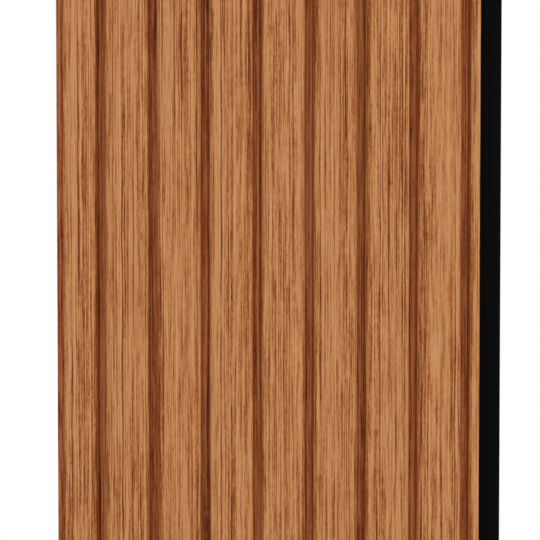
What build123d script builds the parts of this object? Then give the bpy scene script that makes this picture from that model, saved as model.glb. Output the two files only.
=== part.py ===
from build123d import *
from math import radians, tan
import os

# Louvred wall panel: one cut length of an extruded tongue-and-slot panel with a decor film on its face.
# Millimetres. X runs across the panel, the louvred face looks along -Y and Z runs along the length.
# The origin lies on the wall plane, midway between the panel's two joint lines and midway along it.

# Length
PANEL_LENGTH = 900.0

# Louvred face, measured over the film
GROOVE_COUNT = 8
SLAT_WIDTH = 12.6
GROOVE_WIDTH = 2.4
GROOVE_DEPTH = 5.0
GROOVE_DRAFT = 1.5          # degrees that each groove wall leans outwards
GROOVE_ROOT_RADIUS = 0.5
SLAT_EDGE_RADIUS = 1.2
FILM_THICKNESS = 0.3

# Joint between neighbouring panels, which falls inside a slat
RIB_WIDTH = 2.9             # the part of that slat on the right-hand edge
TONGUE_REACH = 2.7          # past the left-hand joint line
TONGUE_THICKNESS = 2.2
SLOT_ROOF = 1.8             # solid between the slot and the groove floors
FLANGE_REACH = 7.0          # past the right-hand joint line
FLANGE_THICKNESS = 2.6
JOINT_EDGE_RADIUS = 0.6     # smaller than on the slats, so that the joint closes to a fine line
JOINT_CLEARANCE = 0.2       # between mating faces
JOINT_END_GAP = 0.3         # beyond the tongue's nose and the flange's edge

# Bare extruded edges and the back
EXTRUSION_RADIUS = 0.3
GLUE_CHANNEL_WIDTH = 5.0
GLUE_CHANNEL_DEPTH = 1.2

# Spacing across the face
PITCH = SLAT_WIDTH + GROOVE_WIDTH
COVER_WIDTH = GROOVE_COUNT * PITCH
LEFT_JOINT = -COVER_WIDTH / 2
RIGHT_JOINT = COVER_WIDTH / 2
FIRST_SLAT_WIDTH = SLAT_WIDTH - RIB_WIDTH - JOINT_CLEARANCE
FIRST_GROOVE = LEFT_JOINT + FIRST_SLAT_WIDTH + GROOVE_WIDTH / 2
GROOVE_CENTRES = [FIRST_GROOVE + step * PITCH for step in range(GROOVE_COUNT)]

# Levels above the wall plane
TONGUE_BACK = FLANGE_THICKNESS + JOINT_CLEARANCE
TONGUE_FRONT = TONGUE_BACK + TONGUE_THICKNESS
SLOT_FRONT = TONGUE_FRONT + JOINT_CLEARANCE
GROOVE_FLOOR = SLOT_FRONT + SLOT_ROOF
SLAT_FRONT = GROOVE_FLOOR + GROOVE_DEPTH

# Edges of the joint
TONGUE_NOSE = LEFT_JOINT - TONGUE_REACH
RIB_SIDE = RIGHT_JOINT - JOINT_CLEARANCE
SLOT_END = RIGHT_JOINT - TONGUE_REACH - JOINT_END_GAP
FLANGE_EDGE = RIGHT_JOINT + FLANGE_REACH
REBATE_END = LEFT_JOINT + FLANGE_REACH + JOINT_END_GAP


def at(across, level):
    """Point of the cross-section at a level above the wall plane; the face looks along -Y."""
    return (across, -level)


def face_line():
    """Visible line of the face, from the tongue's nose over every slat to the foot of the rib."""
    half_mouth = GROOVE_WIDTH / 2
    half_floor = half_mouth - GROOVE_DEPTH * tan(radians(GROOVE_DRAFT))
    points = [at(TONGUE_NOSE, TONGUE_FRONT), at(LEFT_JOINT, TONGUE_FRONT), at(LEFT_JOINT, SLAT_FRONT)]
    radii = [GROOVE_ROOT_RADIUS, JOINT_EDGE_RADIUS]
    for centre in GROOVE_CENTRES:
        points.append(at(centre - half_mouth, SLAT_FRONT))
        points.append(at(centre - half_floor, GROOVE_FLOOR))
        points.append(at(centre + half_floor, GROOVE_FLOOR))
        points.append(at(centre + half_mouth, SLAT_FRONT))
        radii += [SLAT_EDGE_RADIUS, GROOVE_ROOT_RADIUS, GROOVE_ROOT_RADIUS, SLAT_EDGE_RADIUS]
    points += [at(RIB_SIDE, SLAT_FRONT), at(RIB_SIDE, SLOT_FRONT)]
    radii.append(JOINT_EDGE_RADIUS)
    return FilletPolyline(*points, radius=radii)


def bare_line():
    """Bare extruded line, from the foot of the rib round the slot, flange, back and tongue."""
    return FilletPolyline(
        at(RIB_SIDE, SLOT_FRONT),
        at(SLOT_END, SLOT_FRONT),
        at(SLOT_END, FLANGE_THICKNESS),
        at(FLANGE_EDGE, FLANGE_THICKNESS),
        at(FLANGE_EDGE, 0),
        at(REBATE_END, 0),
        at(REBATE_END, TONGUE_BACK),
        at(TONGUE_NOSE, TONGUE_BACK),
        at(TONGUE_NOSE, TONGUE_FRONT),
        radius=EXTRUSION_RADIUS,
    )


def glue_channels():
    """Shallow channels in the back, one behind the middle of each full slat."""
    channel = RectangleRounded(GLUE_CHANNEL_WIDTH, 2 * GLUE_CHANNEL_DEPTH, EXTRUSION_RADIUS)
    slat_middles = [centre + PITCH / 2 for centre in GROOVE_CENTRES[:-1]]
    return [Pos(middle, 0) * channel for middle in slat_middles]


def panel_length(section):
    """Cut length of a section, half of it to each side of the origin."""
    return extrude(section, amount=PANEL_LENGTH / 2, dir=(0, 0, 1), both=True)


# Sections of the film and of the core that it is wrapped over
face = face_line()
film_section = make_face(offset(face, amount=FILM_THICKNESS, side=Side.LEFT))
whole_section = make_face(face + bare_line())
core_section = whole_section - film_section - glue_channels()

nodes = {
    "extruded_core": panel_length(core_section),
    "woodgrain_film": panel_length(film_section),
}

os.makedirs("parts", exist_ok=True)
for name, node in nodes.items():
    node.label = name
    export_step(node, f"parts/{name}.step")
    print(name, "volume", round(node.volume), "mm3")
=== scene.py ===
# %% [markdown]
# # A louvred wall panel
# The panel is one extruded black core with a printed wood-grain film wrapped over its face. The solid
# model already holds the true section, so this lesson only dresses it. The film is rebuilt here from a
# rule, with finer rounded edges than the solid has, and the core keeps its own mesh.

import math

import bpy
import numpy as np
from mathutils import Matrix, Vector


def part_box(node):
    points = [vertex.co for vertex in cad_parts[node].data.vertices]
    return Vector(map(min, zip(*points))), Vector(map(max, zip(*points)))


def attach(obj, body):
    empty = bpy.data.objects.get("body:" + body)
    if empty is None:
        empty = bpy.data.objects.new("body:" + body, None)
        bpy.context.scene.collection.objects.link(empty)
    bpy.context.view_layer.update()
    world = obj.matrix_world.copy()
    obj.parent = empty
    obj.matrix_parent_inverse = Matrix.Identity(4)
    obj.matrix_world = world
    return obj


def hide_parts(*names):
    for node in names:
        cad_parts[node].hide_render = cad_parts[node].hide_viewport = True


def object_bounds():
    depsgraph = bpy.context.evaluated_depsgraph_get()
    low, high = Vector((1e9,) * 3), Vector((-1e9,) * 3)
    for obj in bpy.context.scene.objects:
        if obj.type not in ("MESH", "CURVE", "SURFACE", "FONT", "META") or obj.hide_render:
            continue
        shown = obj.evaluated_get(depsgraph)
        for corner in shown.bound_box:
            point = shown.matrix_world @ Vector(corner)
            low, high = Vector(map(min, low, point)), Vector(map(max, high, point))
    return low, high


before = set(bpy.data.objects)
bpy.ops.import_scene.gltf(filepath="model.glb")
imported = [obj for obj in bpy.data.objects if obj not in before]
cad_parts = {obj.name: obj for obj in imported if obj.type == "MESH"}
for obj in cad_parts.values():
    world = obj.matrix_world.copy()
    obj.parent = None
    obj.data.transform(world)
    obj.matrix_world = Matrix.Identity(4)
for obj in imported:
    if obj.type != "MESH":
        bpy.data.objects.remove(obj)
cad_low, cad_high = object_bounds()
print("solids:", sorted(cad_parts), "box", [round(v, 4) for v in cad_high - cad_low])

# %% [markdown]
# ## Sizes
# Everything is in metres. X runs across the panel, the face looks along -Y and Z runs along the slats.
# The two solids' boxes give the outer places, so only the sizes inside the section are written again.
# Depths are Y values: the wall is at 0 and the slat fronts are the most negative.

# %% Sizes of the louvred face
GROOVE_COUNT = 8
PITCH = 0.015
GROOVE_WIDTH = 0.0024
GROOVE_DEPTH = 0.005
GROOVE_DRAFT = math.radians(1.5)
EDGE_RADIUS = 0.0012
JOINT_RADIUS = 0.0006
ROOT_RADIUS = 0.0005
RIB_WIDTH = 0.0029
TONGUE_REACH = 0.0027
JOINT_CLEARANCE = 0.0002

film_low, film_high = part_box("woodgrain_film")
core_low, core_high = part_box("extruded_core")
film_thickness = core_low.y - film_low.y
slat_front = film_low.y
groove_floor = slat_front + GROOVE_DEPTH
floor_width = GROOVE_WIDTH - 2 * GROOVE_DEPTH * math.tan(GROOVE_DRAFT)
tongue_nose = film_low.x
left_joint = tongue_nose + TONGUE_REACH
tongue_front = film_high.y - film_thickness
rib_side = film_high.x
rib_foot = tongue_front - JOINT_CLEARANCE
last_groove = rib_side - RIB_WIDTH - GROOVE_WIDTH / 2
first_groove = last_groove - (GROOVE_COUNT - 1) * PITCH
panel_bottom, panel_top = core_low.z, core_high.z
print("film", round(film_thickness * 1000, 2), "mm thick, slats at", round(slat_front * 1000, 2), "mm")

# %% [markdown]
# ## Camera
# The photograph looks straight at the face from half a metre and slightly down, so the panel narrows a
# little towards the bottom of the picture. The scale on the slat fronts and the distance give the lens.
# The camera is aimed by its place and one tilt, which is easier to read than a tracking constraint.

# %% Camera at the photograph's angle
PICTURE_PIXELS = 540
PIXELS_PER_METRE = 3475
CAMERA_DISTANCE = 0.50
CAMERA_TILT = math.radians(2.17)
CAMERA_ACROSS = -0.0006
SENSOR_MILLIMETRES = 36.0
CLIP_START = 0.01

camera_data = bpy.data.cameras.new("camera")
camera_data.sensor_width = SENSOR_MILLIMETRES
camera_data.lens = SENSOR_MILLIMETRES * PIXELS_PER_METRE * CAMERA_DISTANCE / PICTURE_PIXELS
camera_data.clip_start = CLIP_START
camera = bpy.data.objects.new("camera", camera_data)
bpy.context.scene.collection.objects.link(camera)
camera.location = (
    CAMERA_ACROSS,
    slat_front - CAMERA_DISTANCE * math.cos(CAMERA_TILT),
    CAMERA_DISTANCE * math.sin(CAMERA_TILT),
)
camera.rotation_euler = (math.pi / 2 - CAMERA_TILT, 0, 0)
bpy.context.scene.camera = camera
print("lens", round(camera_data.lens, 1), "mm at", CAMERA_DISTANCE, "m")

# %% [markdown]
# ## Node helpers
# Shader trees and geometry trees are both graphs of nodes. One helper adds a node, sets its options and
# fills its sockets with either a plain value or another node's output. The others are the steps that
# come up most often: arithmetic, and mapping one range of values onto another.

# %% Helpers for node trees
def add(tree, kind, inputs=None, **options):
    """Adds a node. Each input is a plain value or an output socket to link from."""
    node = tree.nodes.new(kind)
    for name, value in options.items():
        setattr(node, name, value)
    for key, value in (inputs or {}).items():
        if isinstance(value, bpy.types.NodeSocket):
            tree.links.new(value, node.inputs[key])
        else:
            node.inputs[key].default_value = value
    return node


def calc(tree, operation, first, second=0.0):
    """One arithmetic step on two values or sockets."""
    return add(tree, "ShaderNodeMath", {0: first, 1: second}, operation=operation).outputs[0]


def mapped(tree, value, low, high, start=0.0, end=1.0, curve="LINEAR"):
    """Goes from start to end while value goes from low to high, and stays there beyond."""
    values = {"Value": value, "From Min": low, "From Max": high, "To Min": start, "To Max": end}
    return add(tree, "ShaderNodeMapRange", values, interpolation_type=curve).outputs["Result"]


def eased(tree, value, low, high, start=0.0, end=1.0):
    """The same, but setting off and arriving softly."""
    return mapped(tree, value, low, high, start, end, "SMOOTHSTEP")


print("node helpers:", [helper.__name__ for helper in (add, calc, mapped, eased)])

# %% [markdown]
# ## Floor and background
# The photograph has a plain white ground. The world is white to the camera, and a wide floor fades from
# pale grey under the panel to the same white further out, so no horizon shows and the shadow stays.
# The white is only for rays that show the background, so it adds no light to the panel.

# %% Floor that fades to white
FLOOR_RADIUS = 12.0
FLOOR_CORNERS = 96
FLOOR_COLOUR = (0.92, 0.92, 0.92, 1)
WHITE = (1, 1, 1, 1)
FADE_START = 0.15
FADE_END = 1.10


def shows_background(tree):
    """1 for rays that see a surface directly, in a reflection or through glass, and 0 for its light."""
    path = add(tree, "ShaderNodeLightPath").outputs
    seen = calc(tree, "MAXIMUM", path["Is Camera Ray"], path["Is Glossy Ray"])
    return calc(tree, "MAXIMUM", seen, path["Is Transmission Ray"])


bpy.ops.mesh.primitive_circle_add(
    vertices=FLOOR_CORNERS, radius=FLOOR_RADIUS, fill_type="NGON", location=(0, 0, cad_low.z)
)
floor = bpy.context.object
floor.name = "studio_floor"
floor_material = bpy.data.materials.new("studio_floor")
floor_material.use_nodes = True
tree = floor_material.node_tree
tree.nodes.clear()
place = add(tree, "ShaderNodeTexCoord").outputs["Object"]
distance = add(tree, "ShaderNodeVectorMath", {0: place}, operation="LENGTH").outputs["Value"]
fade = eased(tree, distance, FADE_START, FADE_END)
whiteness = calc(tree, "MULTIPLY", fade, shows_background(tree))
pale = add(tree, "ShaderNodeBsdfDiffuse", {"Color": FLOOR_COLOUR}).outputs[0]
white = add(tree, "ShaderNodeEmission", {"Color": WHITE, "Strength": 1.0}).outputs[0]
ground = add(tree, "ShaderNodeMixShader", {0: whiteness, 1: pale, 2: white}).outputs[0]
add(tree, "ShaderNodeOutputMaterial", {"Surface": ground})
floor.data.materials.append(floor_material)
print("floor at", round(cad_low.z, 3), "m")

# %% [markdown]
# ## Light
# The picture is lit flat and soft: the slats are even from side to side, and only the grooves are dark.
# Most of that comes from a sky that is a little brighter from the right than from the left. A sky image
# could do the same, but two levels and a blend between them are all that a plain studio needs.

# %% Sky
SKY_LEFT = 0.28
SKY_RIGHT = 0.44

world = bpy.data.worlds.new("studio")
bpy.context.scene.world = world
world.use_nodes = True
tree = world.node_tree
tree.nodes.clear()
direction = add(tree, "ShaderNodeTexCoord").outputs["Generated"]
sideways = add(tree, "ShaderNodeSeparateXYZ", {0: direction}).outputs["X"]
sky_light = mapped(tree, sideways, -1.0, 1.0, SKY_LEFT, SKY_RIGHT)
strength = mapped(tree, shows_background(tree), 0.0, 1.0, sky_light, 1.0)
sky = add(tree, "ShaderNodeBackground", {"Color": WHITE, "Strength": strength}).outputs[0]
add(tree, "ShaderNodeOutputWorld", {"Surface": sky})
print("sky light from", SKY_LEFT, "to", SKY_RIGHT)

# %% [markdown]
# Three large soft lamps add a little direction: one in front, a weaker one to the right, and one behind
# the panel, because a black back needs more light than a brown front before its channels can be seen.
# Large lamps keep every shadow soft, and each one is aimed at the middle of the panel.

# %% Lamps
LAMPS = {
    "front_softbox": {"place": (-0.05, -2.4, 0.5), "size": 1.6, "watts": 26.0},
    "right_softbox": {"place": (1.5, -1.3, 0.8), "size": 1.2, "watts": 10.0},
    "back_softbox": {"place": (0.9, 1.8, 0.7), "size": 1.4, "watts": 42.0},
}

for name, lamp in LAMPS.items():
    light = bpy.data.lights.new(name, "AREA")
    light.size = lamp["size"]
    light.energy = lamp["watts"]
    lamp_object = bpy.data.objects.new(name, light)
    lamp_object.location = lamp["place"]
    aim = -Vector(lamp["place"])
    lamp_object.rotation_euler = aim.to_track_quat("-Z", "Y").to_euler()
    bpy.context.scene.collection.objects.link(lamp_object)
bpy.context.scene.view_settings.view_transform = "Standard"
print("lamps:", list(LAMPS))

# %% [markdown]
# ## The film's line
# Seen from the end, the film is one line: over the tongue, up the first slat, in and out of each groove
# and down the last rib. It could be drawn as a long list of points, but every groove is the same, so a
# Geometry Nodes tree draws one groove's four corners and repeats them at the pitch.

# %% The tree and its named sizes
FILM_SIZES = {
    "Pitch": PITCH,
    "First Groove": first_groove,
    "Groove Width": GROOVE_WIDTH,
    "Floor Width": floor_width,
    "Slat Front": slat_front,
    "Groove Floor": groove_floor,
    "Edge Radius": EDGE_RADIUS,
    "Joint Radius": JOINT_RADIUS,
    "Root Radius": ROOT_RADIUS,
    "Tongue Nose": tongue_nose,
    "Left Joint": left_joint,
    "Tongue Front": tongue_front,
    "Rib Side": rib_side,
    "Rib Foot": rib_foot,
    "Film Thickness": film_thickness,
    "Panel Bottom": panel_bottom,
    "Panel Top": panel_top,
}


def new_group(name, kind, inputs, outputs):
    """An empty node group with named sockets, and its input and output nodes."""
    tree = bpy.data.node_groups.new(name, kind)
    for label, socket, value in inputs:
        made = tree.interface.new_socket(label, in_out="INPUT", socket_type=socket)
        if value is not None:
            made.default_value = value
    for label, socket in outputs:
        tree.interface.new_socket(label, in_out="OUTPUT", socket_type=socket)
    return tree, tree.nodes.new("NodeGroupInput").outputs, tree.nodes.new("NodeGroupOutput").inputs


film_inputs = [(name, "NodeSocketFloat", 0.0) for name in FILM_SIZES]
film_inputs.append(("Groove Count", "NodeSocketInt", 1))
film_inputs.append(("Film Material", "NodeSocketMaterial", None))
film_tree, size, film_output = new_group(
    "Louvred film", "GeometryNodeTree", film_inputs, [("Geometry", "NodeSocketGeometry")]
)
print("film tree has", len(film_inputs), "inputs")

# %% [markdown]
# A point cloud holds the corners, and Index Switch nodes give each point its place and the radius that
# it is rounded with: large on the slat edges, smaller at the joint and at the groove roots. Points also
# carry a number for their order along the line, because joining clouds doesn't promise to keep one.

# %% Corners of one groove and of the line's two ends
ORDER = "line_order"
RADIUS = "corner_radius"


def pick_by_index(tree, kind, values):
    """A field with one value for each point index."""
    pick = add(tree, "GeometryNodeIndexSwitch", data_type=kind)
    while len(pick.index_switch_items) < len(values):
        pick.index_switch_items.new()
    tree.links.new(add(tree, "GeometryNodeInputIndex").outputs[0], pick.inputs["Index"])
    for number, value in enumerate(values):
        tree.links.new(value, pick.inputs[number + 1])
    return pick.outputs[0]


def stored(tree, geometry, name, value, selection=True, **options):
    """The same geometry with a named attribute on what is selected."""
    store = {"Geometry": geometry, "Selection": selection, "Name": name, "Value": value}
    return add(tree, "GeometryNodeStoreNamedAttribute", store, **options).outputs[0]


def corner_points(tree, corners):
    """A point cloud with one point for each (across, depth, radius) corner."""
    places = [add(tree, "ShaderNodeCombineXYZ", {"X": x, "Y": y}).outputs[0] for x, y, radius in corners]
    radii = [radius for x, y, radius in corners]
    cloud = {"Count": len(corners), "Position": pick_by_index(tree, "VECTOR", places)}
    points = add(tree, "GeometryNodePoints", cloud).outputs[0]
    return stored(tree, points, RADIUS, pick_by_index(tree, "FLOAT", radii))


half_mouth = calc(film_tree, "MULTIPLY", size["Groove Width"], 0.5)
half_floor = calc(film_tree, "MULTIPLY", size["Floor Width"], 0.5)
left_mouth = calc(film_tree, "MULTIPLY", half_mouth, -1)
left_floor = calc(film_tree, "MULTIPLY", half_floor, -1)
groove_corners = [
    (left_mouth, size["Slat Front"], size["Edge Radius"]),
    (left_floor, size["Groove Floor"], size["Root Radius"]),
    (half_floor, size["Groove Floor"], size["Root Radius"]),
    (half_mouth, size["Slat Front"], size["Edge Radius"]),
]
tongue_corners = [
    (size["Tongue Nose"], size["Tongue Front"], size["Root Radius"]),
    (size["Left Joint"], size["Tongue Front"], size["Root Radius"]),
    (size["Left Joint"], size["Slat Front"], size["Joint Radius"]),
]
rib_corners = [
    (size["Rib Side"], size["Slat Front"], size["Joint Radius"]),
    (size["Rib Side"], size["Rib Foot"], size["Root Radius"]),
]
print("line corners:", len(tongue_corners) + GROOVE_COUNT * len(groove_corners) + len(rib_corners))

# %% [markdown]
# Instance on Points puts the groove's corners at every step of the pitch. The tongue's corners are
# numbered below zero and the rib's after the last groove, so one sort puts the whole line in order.

# %% Grooves repeated, and the whole line in order
def numbered(tree, points, first):
    """The same points, each with its order along the line, counted from first."""
    index = add(tree, "GeometryNodeInputIndex").outputs[0]
    return stored(tree, points, ORDER, calc(tree, "ADD", index, first))


def joined(tree, parts):
    """Several geometries as one."""
    join = add(tree, "GeometryNodeJoinGeometry")
    for part in parts:
        tree.links.new(part, join.inputs[0])
    return join.outputs[0]


start = add(film_tree, "ShaderNodeCombineXYZ", {"X": size["First Groove"]}).outputs[0]
step = add(film_tree, "ShaderNodeCombineXYZ", {"X": size["Pitch"]}).outputs[0]
row = {"Count": size["Groove Count"], "Start Location": start, "Offset": step}
centres = add(film_tree, "GeometryNodeMeshLine", row).outputs[0]
copies = {"Points": centres, "Instance": corner_points(film_tree, groove_corners)}
grooves = add(film_tree, "GeometryNodeInstanceOnPoints", copies).outputs[0]
grooves = add(film_tree, "GeometryNodeRealizeInstances", {"Geometry": grooves}).outputs[0]
after_grooves = calc(film_tree, "MULTIPLY", size["Groove Count"], len(groove_corners))
tongue = corner_points(film_tree, tongue_corners)
rib = corner_points(film_tree, rib_corners)
line_points = joined(
    film_tree,
    [
        numbered(film_tree, tongue, -len(tongue_corners)),
        numbered(film_tree, grooves, 0),
        numbered(film_tree, rib, after_grooves),
    ],
)
order = add(film_tree, "GeometryNodeInputNamedAttribute", {"Name": ORDER}).outputs[0]
line = add(film_tree, "GeometryNodePointsToCurves", {"Points": line_points, "Weight": order}).outputs[0]
print("grooves from", round(first_groove * 1000, 2), "to", round(last_groove * 1000, 2), "mm")

# %% [markdown]
# Fillet Curve rounds every corner by its stored radius. The length along the rounded line is stored on
# its points too, because the grain was printed on the flat film and has to follow it into the grooves.

# %% Rounded line, swept along the panel
ACROSS = "film_across"
ARC_STEPS = 6
LENGTH_STEPS = 13

radius = add(film_tree, "GeometryNodeInputNamedAttribute", {"Name": RADIUS}).outputs[0]
fillet = {"Curve": line, "Count": ARC_STEPS, "Radius": radius}
rounded = add(film_tree, "GeometryNodeFilletCurve", fillet, mode="POLY").outputs[0]
unrolled = add(film_tree, "GeometryNodeSplineParameter").outputs["Length"]
rounded = stored(film_tree, rounded, ACROSS, unrolled)
bottom = add(film_tree, "ShaderNodeCombineXYZ", {"Z": size["Panel Bottom"]}).outputs[0]
top = add(film_tree, "ShaderNodeCombineXYZ", {"Z": size["Panel Top"]}).outputs[0]
rail = add(film_tree, "GeometryNodeCurvePrimitiveLine", {"Start": bottom, "End": top}).outputs[0]
rail = add(film_tree, "GeometryNodeResampleCurve", {"Curve": rail, "Count": LENGTH_STEPS}).outputs[0]
skin = add(film_tree, "GeometryNodeCurveToMesh", {"Curve": rail, "Profile Curve": rounded}).outputs[0]
print("corners rounded in", ARC_STEPS, "steps and swept over", LENGTH_STEPS, "stations")

# %% [markdown]
# A film has two sides. Extruding the swept skin inwards gives the inner side and the cut edges; turned
# round and welded to the skin, they close it. Each face also stores which side it is, for the bake map.
# Smooth shading is split only where the film was cut, so its rounded edges stay soft.

# %% Thickness, shading and output of the film
SIDE = "film_side"
OUTER, INNER, RIM = 0, 1, 2
SHARP_ANGLE = math.radians(50)
WELD_DISTANCE = 1e-6


def face_mark(tree, mesh, value, selection=True):
    """Stores which side of the film the chosen faces are."""
    return stored(tree, mesh, SIDE, value, selection, data_type="INT", domain="FACE")


inwards = calc(film_tree, "MULTIPLY", size["Film Thickness"], -1)
grow = {"Mesh": skin, "Offset Scale": inwards, "Individual": False}
grown = add(film_tree, "GeometryNodeExtrudeMesh", grow).outputs
inner = face_mark(film_tree, grown["Mesh"], INNER, grown["Top"])
inner = face_mark(film_tree, inner, RIM, grown["Side"])
inner = add(film_tree, "GeometryNodeFlipFaces", {"Mesh": inner}).outputs[0]
both = joined(film_tree, [inner, face_mark(film_tree, skin, OUTER)])
weld = {"Geometry": both, "Distance": WELD_DISTANCE}
closed = add(film_tree, "GeometryNodeMergeByDistance", weld).outputs[0]
soft = {"Geometry": closed, "Shade Smooth": True}
smooth = add(film_tree, "GeometryNodeSetShadeSmooth", soft).outputs[0]
angle = add(film_tree, "GeometryNodeInputMeshEdgeAngle").outputs["Unsigned Angle"]
cut_edges = calc(film_tree, "GREATER_THAN", angle, SHARP_ANGLE)
split = {"Geometry": smooth, "Selection": cut_edges, "Shade Smooth": False}
smooth = add(film_tree, "GeometryNodeSetShadeSmooth", split, domain="EDGE").outputs[0]
real = add(film_tree, "GeometryNodeRealizeInstances", {"Geometry": smooth}).outputs[0]
dress = {"Geometry": real, "Material": size["Film Material"]}
dressed = add(film_tree, "GeometryNodeSetMaterial", dress).outputs[0]
film_tree.links.new(dressed, film_output["Geometry"])
print("film tree has", len(film_tree.nodes), "nodes")

# %% [markdown]
# ## Shared effect: long lines
# Wood fibres, printed veins and the fine marks that an extrusion die leaves are all the same thing at
# different sizes: soft lines that run along the panel. One shader group makes them from noise that is
# squeezed across and stretched along, in millimetres, and each material places it with its own values.

# %% Shader group for long lines
lines_tree, lines_in, lines_out = new_group(
    "Long lines",
    "ShaderNodeTree",
    [
        ("Across", "NodeSocketFloat", 0.0),
        ("Along", "NodeSocketFloat", 0.0),
        ("Line Width", "NodeSocketFloat", 1.0),
        ("Line Length", "NodeSocketFloat", 50.0),
        ("Seed", "NodeSocketFloat", 0.0),
        ("Detail", "NodeSocketFloat", 0.0),
    ],
    [("Lines", "NodeSocketFloat")],
)
squeezed = {
    "X": calc(lines_tree, "DIVIDE", lines_in["Across"], lines_in["Line Width"]),
    "Y": lines_in["Seed"],
    "Z": calc(lines_tree, "DIVIDE", lines_in["Along"], lines_in["Line Length"]),
}
spread = add(lines_tree, "ShaderNodeCombineXYZ", squeezed).outputs[0]
cloudy = {"Vector": spread, "Scale": 1.0, "Detail": lines_in["Detail"]}
noise = add(lines_tree, "ShaderNodeTexNoise", cloudy)
lines_tree.links.new(noise.outputs["Fac"], lines_out["Lines"])
MIDDLE = 0.5


def long_lines(tree, across, along, lines):
    """Places the group for one kind of line, sized in millimetres; the result lies around MIDDLE."""
    values = {
        "Across": across,
        "Along": along,
        "Line Width": lines["width"],
        "Line Length": lines["length"],
        "Seed": lines["seed"],
        "Detail": lines.get("detail", 0.0),
    }
    return add(tree, "ShaderNodeGroup", values, node_tree=lines_tree).outputs["Lines"]


def swing(tree, across, along, lines, reach=1.0):
    """The same lines as a value that swings about zero, times reach."""
    centred = calc(tree, "SUBTRACT", long_lines(tree, across, along, lines), MIDDLE)
    return calc(tree, "MULTIPLY", centred, reach)


print("long lines group has", len(lines_tree.nodes), "nodes")

# %% [markdown]
# ## Wood-grain film
# The print is straight, quarter-cut looking grain: a light tan ground, fine fibres, and darker veins
# that run for a few centimetres, thin out and start again. A scanned picture would be the usual way; here
# layers of long lines are added into one grain value, and a colour ramp turns it into browns.
#
# First comes the place on the flat print. Across the film it is the unrolled length, with a shift that
# says where on the printed roll this panel was cut. Real fibres aren't ruled lines, so two slow, wide
# layers of the same noise push the place sideways by a fraction of a millimetre.

# %% Place on the print
MILLIMETRES = 1000.0
PRINT_SHIFT = 59.8
WANDERS = [
    {"width": 12.0, "length": 90.0, "seed": 31.4, "reach": 0.35},
    {"width": 1.6, "length": 18.0, "seed": 37.2, "reach": 0.35},
]


def new_material(name):
    """A material, its node tree and its shader."""
    material = bpy.data.materials.new(name)
    material.use_nodes = True
    return material, material.node_tree, material.node_tree.nodes["Principled BSDF"]


film_material, print_tree, film_shader = new_material("woodgrain_print")
unrolled = add(print_tree, "ShaderNodeAttribute", attribute_name=ACROSS).outputs["Fac"]
straight = calc(print_tree, "MULTIPLY", unrolled, MILLIMETRES)
straight = calc(print_tree, "ADD", straight, PRINT_SHIFT)
place = add(print_tree, "ShaderNodeTexCoord").outputs["Object"]
spot = add(print_tree, "ShaderNodeSeparateXYZ", {0: place}).outputs
along = calc(print_tree, "MULTIPLY", spot["Z"], MILLIMETRES)
across = straight
for wander in WANDERS:
    drift = swing(print_tree, straight, along, wander, wander["reach"])
    across = calc(print_tree, "ADD", across, drift)
print("layers of wander:", len(WANDERS))

# %% [markdown]
# The fibres are hairlines of many lengths, from ones that run the whole panel down to dots, so each
# layer has its own length and share. Broad patches then make them stronger and darker in some places
# and fainter in others, as early and late wood do.

# %% Fibres and patches
FIBRES = [
    {"width": 0.40, "length": 900.0, "seed": 3.1, "share": 0.61},
    {"width": 0.40, "length": 160.0, "seed": 7.7, "share": 0.48},
    {"width": 0.42, "length": 45.0, "seed": 12.3, "share": 0.37},
    {"width": 0.48, "length": 18.0, "seed": 15.8, "share": 0.36},
    {"width": 0.42, "length": 7.0, "seed": 19.6, "share": 0.37},
    {"width": 0.34, "length": 2.2, "seed": 21.9, "share": 0.24},
    {"width": 0.30, "length": 0.5, "seed": 23.4, "share": 0.18},
]
FIBRE_CONTRAST = 1.48
PATCHES = {"width": 4.0, "length": 140.0, "seed": 53.2}
PATCH_RANGE = (0.32, 0.68)
PATCH_CONTRAST = (0.85, 1.15)
PATCH_TONE = 0.04

fibres = 0.0
for fibre in FIBRES:
    layer = swing(print_tree, across, along, fibre, fibre["share"] * FIBRE_CONTRAST)
    fibres = calc(print_tree, "ADD", layer, fibres)
patch = long_lines(print_tree, across, along, PATCHES)
contrast = eased(print_tree, patch, *PATCH_RANGE, *PATCH_CONTRAST)
fibres = calc(print_tree, "MULTIPLY", fibres, contrast)
tone = eased(print_tree, patch, *PATCH_RANGE, MIDDLE + PATCH_TONE, MIDDLE - PATCH_TONE)
grain = calc(print_tree, "ADD", fibres, tone)
print("fibre layers:", len(FIBRES))

# %% [markdown]
# A vein is drawn where wide, slow noise crosses its middle level, which gives thin lines that keep
# apart from each other. A second noise breaks them off and lets them start again. Short dark flecks are
# the few strongest peaks of a finer noise. Beside each groove the grain value is lowered by the distance
# to the nearest groove: painted shade that darkens the slat edges next to each groove.

# %% Veins, flecks and painted shade beside the grooves
VEINS = {"width": 2.0, "length": 420.0, "seed": 41.3}
VEIN_HALF_WIDTH = 0.04
VEIN_DEPTH = 0.32
VEIN_BREAKS = {"width": 1.2, "length": 90.0, "seed": 47.9}
BREAK_RANGE = (0.36, 0.62)
FLECKS = {"width": 0.55, "length": 26.0, "seed": 61.7}
FLECK_RANGE = (0.60, 0.76)
FLECK_DEPTH = 0.12
SHOULDER_WIDTH = 0.0025
PAINTED_SHOULDER_SHADE = 0.08

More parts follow.
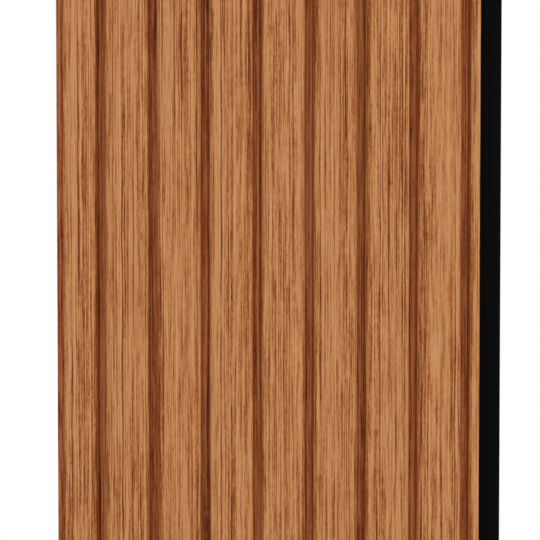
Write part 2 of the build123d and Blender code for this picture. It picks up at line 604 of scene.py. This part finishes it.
from_vein = calc(print_tree, "ABSOLUTE", swing(print_tree, across, along, VEINS))
vein = eased(print_tree, from_vein, 0.0, VEIN_HALF_WIDTH, VEIN_DEPTH, 0.0)
unbroken = eased(print_tree, long_lines(print_tree, across, along, VEIN_BREAKS), *BREAK_RANGE)
vein = calc(print_tree, "MULTIPLY", vein, unbroken)
peaks = long_lines(print_tree, across, along, FLECKS)
fleck = eased(print_tree, peaks, *FLECK_RANGE, 0.0, FLECK_DEPTH)
# Painted shade: the colour is darker within SHOULDER_WIDTH of each groove mouth.
past_groove = calc(print_tree, "SUBTRACT", spot["X"], first_groove)
from_groove = calc(print_tree, "PINGPONG", past_groove, PITCH / 2)
mouth = GROOVE_WIDTH / 2
painted_shoulder_shade = eased(print_tree, from_groove, mouth, mouth + SHOULDER_WIDTH, PAINTED_SHOULDER_SHADE, 0.0)
for darker in (vein, fleck, painted_shoulder_shade):
    grain = calc(print_tree, "SUBTRACT", grain, darker)
print("print tree has", len(print_tree.nodes), "nodes")

# %% [markdown]
# The grain value picks its brown from a ramp of seven printed tones. A second ramp by depth multiplies
# the print with painted light and shade: painted light makes the lower groove walls lighter and warmer,
# and painted shade makes the groove floors darker.

# %% Colour of the film
GRAIN_TONES = [
    (0.00, (0.132, 0.024, 0.003, 1)),
    (0.13, (0.244, 0.062, 0.011, 1)),
    (0.295, (0.322, 0.101, 0.024, 1)),
    (0.40, (0.392, 0.141, 0.041, 1)),
    (0.50, (0.448, 0.182, 0.062, 1)),
    (0.61, (0.480, 0.214, 0.076, 1)),
    (0.87, (0.530, 0.258, 0.102, 1)),
]
# Painted light and shade by depth: lighter lower groove walls, darker groove floors.
GROOVE_PAINTED_LIGHT_AND_SHADE = [
    (0.00, (1.00, 1.00, 1.00, 1)),
    (0.90, (1.22, 0.98, 0.86, 1)),
    (1.00, (0.94, 0.73, 0.62, 1)),
]
MIX_COLOURS = {"first": 6, "second": 7, "result": 2}


def tone_ramp(tree, value, tones):
    """Colours between (level, colour) tones, by value."""
    ramp = add(tree, "ShaderNodeValToRGB", {"Fac": value})
    stops = ramp.color_ramp.elements
    while len(stops) < len(tones):
        stops.new(1.0)
    for stop, (level, colour) in zip(stops, tones):
        stop.position = level
        stop.color = colour
    return ramp.outputs["Color"]


# Depth into the grooves picks the painted light and shade that multiplies the print.
depth = mapped(print_tree, spot["Y"], slat_front, groove_floor)
print_and_painted_shade = {
    "Factor": 1.0,
    MIX_COLOURS["first"]: tone_ramp(print_tree, grain, GRAIN_TONES),
    MIX_COLOURS["second"]: tone_ramp(print_tree, depth, GROOVE_PAINTED_LIGHT_AND_SHADE),
}
print_with_painted_shade = add(print_tree, "ShaderNodeMix", print_and_painted_shade, data_type="RGBA", blend_type="MULTIPLY")
print_tree.links.new(print_with_painted_shade.outputs[MIX_COLOURS["result"]], film_shader.inputs["Base Color"])
print("printed tones:", len(GRAIN_TONES), "and by depth:", len(GROOVE_PAINTED_LIGHT_AND_SHADE))

# %% [markdown]
# The film is satin matt, and its embossing follows the print: the dark lines are pressed in a little and
# are a little rougher. Both come from the grain value, so they can't slip out of step with the colour.

# %% Surface of the film
FILM_SPECULAR = 0.15
FILM_ROUGHNESS = (0.66, 0.50)
FILM_BUMP = 0.25
BUMP_DISTANCE = 0.00005


def fine_surface(tree, shader, height, roughness, bump_strength):
    """Roughness between two levels, and a bump, both from one height value."""
    tree.links.new(mapped(tree, height, 0.0, 1.0, *roughness), shader.inputs["Roughness"])
    relief = {"Strength": bump_strength, "Distance": BUMP_DISTANCE, "Height": height}
    tree.links.new(add(tree, "ShaderNodeBump", relief).outputs[0], shader.inputs["Normal"])


film_shader.inputs["Specular IOR Level"].default_value = FILM_SPECULAR
fine_surface(print_tree, film_shader, grain, FILM_ROUGHNESS, FILM_BUMP)
print("film roughness:", FILM_ROUGHNESS)

# %% [markdown]
# ## Making the film's mesh
# The tree runs as a modifier on an empty mesh. Its inputs are set by socket identifier, then a Weighted
# Normal modifier keeps the wide slat fronts looking flat beside their rounded edges. The evaluated
# result becomes a plain mesh, so nothing is left to evaluate when the panel is exported.

# %% Film piece
def tree_result(name, tree, values, material):
    """Plain mesh object made by a geometry tree with these named input values and one material."""
    maker = bpy.data.objects.new(name, bpy.data.meshes.new(name))
    bpy.context.scene.collection.objects.link(maker)
    modifier = maker.modifiers.new("shape", "NODES")
    modifier.node_group = tree
    for item in tree.interface.items_tree:
        if item.in_out == "INPUT":
            modifier[item.identifier] = values[item.name]
    shading = maker.modifiers.new("even_shading", "WEIGHTED_NORMAL")
    shading.keep_sharp = True
    bpy.context.view_layer.update()
    evaluated = maker.evaluated_get(bpy.context.evaluated_depsgraph_get())
    mesh = bpy.data.meshes.new_from_object(evaluated)
    maker.modifiers.clear()
    maker.data = mesh
    mesh.name = name
    mesh.materials.clear()
    mesh.materials.append(material)
    mesh.polygons.foreach_set("material_index", np.zeros(len(mesh.polygons), dtype=np.int32))
    return maker


film_values = dict(FILM_SIZES)
film_values["Groove Count"] = GROOVE_COUNT
film_values["Film Material"] = film_material
film = tree_result("wrapped_film", film_tree, film_values, film_material)
print("film faces:", len(film.data.polygons))

# %% [markdown]
# Each material can be painted into one square picture, laid out by a map called OFBake. The grain is
# fine across the film and slow along it, so the whole outer side is unrolled over nearly all of the
# picture, and the hidden inner side and the four cut edges get thin strips beside it.

# %% Which faces go on each strip of the bake map
STRIPS = {
    "outer": (0.000, 0.920),
    "inner": (0.930, 0.950),
    "nose edge": (0.958, 0.966),
    "foot edge": (0.972, 0.980),
    "bottom end": (0.985, 0.991),
    "top end": (0.994, 1.000),
}


def read(items, name, width=1, kind=np.float32):
    """One value of every item of a mesh as an array, with a row for each item if it is a vector."""
    values = np.zeros(width * len(items), dtype=kind)
    items.foreach_get(name, values)
    return values.reshape(-1, width) if width > 1 else values


def strip_faces(mesh, side):
    """Masks of the faces that each strip holds."""
    ends = np.abs(read(mesh.polygons, "normal", 3)[:, 2]) > 0.5
    centres = read(mesh.polygons, "center", 3)
    upper = centres[:, 2] > 0
    right = centres[:, 0] > 0
    rim = side == RIM
    return {
        "outer": side == OUTER,
        "inner": side == INNER,
        "nose edge": rim & ~ends & ~right,
        "foot edge": rim & ~ends & right,
        "bottom end": rim & ends & ~upper,
        "top end": rim & ends & upper,
    }


film_side = read(film.data.attributes[SIDE].data, "value", kind=np.int32)
film_strips = strip_faces(film.data, film_side)
print("faces on each strip:", {name: int(faces.sum()) for name, faces in film_strips.items()})

# %% [markdown]
# Each corner of a face takes its place on the map from its vertex: the stored length across the film,
# the height along the panel, or, on a cut edge, which of the film's two sides the vertex is on.

# %% Bake map of the film
def bake_map(mesh, side, strips):
    """Unrolls the film: strips side by side, each with a span along the film and one across it."""
    corner_vertex = read(mesh.loops, "vertex_index", kind=np.int32)
    corner_face = np.repeat(np.arange(len(mesh.polygons)), [len(face.vertices) for face in mesh.polygons])
    along_film = (read(mesh.vertices, "co", 3)[:, 2] - panel_bottom) / (panel_top - panel_bottom)
    across_film = read(mesh.attributes[ACROSS].data, "value")
    across_film /= across_film.max()
    under = np.zeros(len(mesh.vertices), dtype=np.float32)
    under[corner_vertex[side[corner_face] == INNER]] = 1.0
    spots = np.zeros((len(mesh.loops), 2), dtype=np.float32)
    for name, faces in strips.items():
        corners = faces[corner_face]
        vertices = corner_vertex[corners]
        low, high = STRIPS[name]
        wide = across_film if name in ("outer", "inner") else under
        tall = across_film if name.endswith("end") else along_film
        spots[corners, 0] = low + (high - low) * wide[vertices]
        spots[corners, 1] = tall[vertices]
    layer = mesh.uv_layers.new(name="OFBake")
    layer.data.foreach_set("uv", spots.ravel())
    return layer.name


print("bake map:", bake_map(film.data, film_side, film_strips))
for spare in (ORDER, RADIUS, SIDE):
    film.data.attributes.remove(film.data.attributes[spare])
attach(film, "root")
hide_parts("woodgrain_film")

# %% [markdown]
# ## Black core
# The core is foamed plastic, black all through. Along its sides the die leaves faint lines, and a sawn
# end shows fine cells instead. The solid's own mesh has the right shape, so it only gets this material.

# %% Core material
CORE_TONES = [(0.30, (0.0010, 0.0010, 0.0010, 1)), (0.70, (0.0036, 0.0036, 0.0036, 1))]
DIE_LINES = {"width": 0.6, "length": 220.0, "seed": 5.3, "detail": 2.0}
CELL_SIZE = 0.35
CUT_DEPTH = 0.0002
CORE_SPECULAR = 0.02
CORE_ROUGHNESS = (0.45, 0.75)
CORE_BUMP = 0.3
MIX_VALUES = {"first": 2, "second": 3}

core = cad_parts["extruded_core"]
core_material, core_tree, core_shader = new_material("black_foam")
place = add(core_tree, "ShaderNodeTexCoord").outputs["Object"]
spot = add(core_tree, "ShaderNodeSeparateXYZ", {0: place}).outputs
round_section = calc(core_tree, "ADD", spot["X"], spot["Y"])
round_section = calc(core_tree, "MULTIPLY", round_section, MILLIMETRES)
along = calc(core_tree, "MULTIPLY", spot["Z"], MILLIMETRES)
die_lines = long_lines(core_tree, round_section, along, DIE_LINES)
foam = {"Vector": place, "Scale": MILLIMETRES / CELL_SIZE}
cells = add(core_tree, "ShaderNodeTexVoronoi", foam, feature="F1").outputs["Distance"]
from_middle = calc(core_tree, "ABSOLUTE", spot["Z"])
sawn = calc(core_tree, "GREATER_THAN", from_middle, panel_top - CUT_DEPTH)
either = {"Factor": sawn, MIX_VALUES["first"]: die_lines, MIX_VALUES["second"]: cells}
surface = add(core_tree, "ShaderNodeMix", either).outputs[0]
core_tree.links.new(tone_ramp(core_tree, surface, CORE_TONES), core_shader.inputs["Base Color"])
core_shader.inputs["Specular IOR Level"].default_value = CORE_SPECULAR
fine_surface(core_tree, core_shader, surface, CORE_ROUGHNESS, CORE_BUMP)
core.data.materials.clear()
core.data.materials.append(core_material)
print("core material has", len(core_tree.nodes), "nodes")
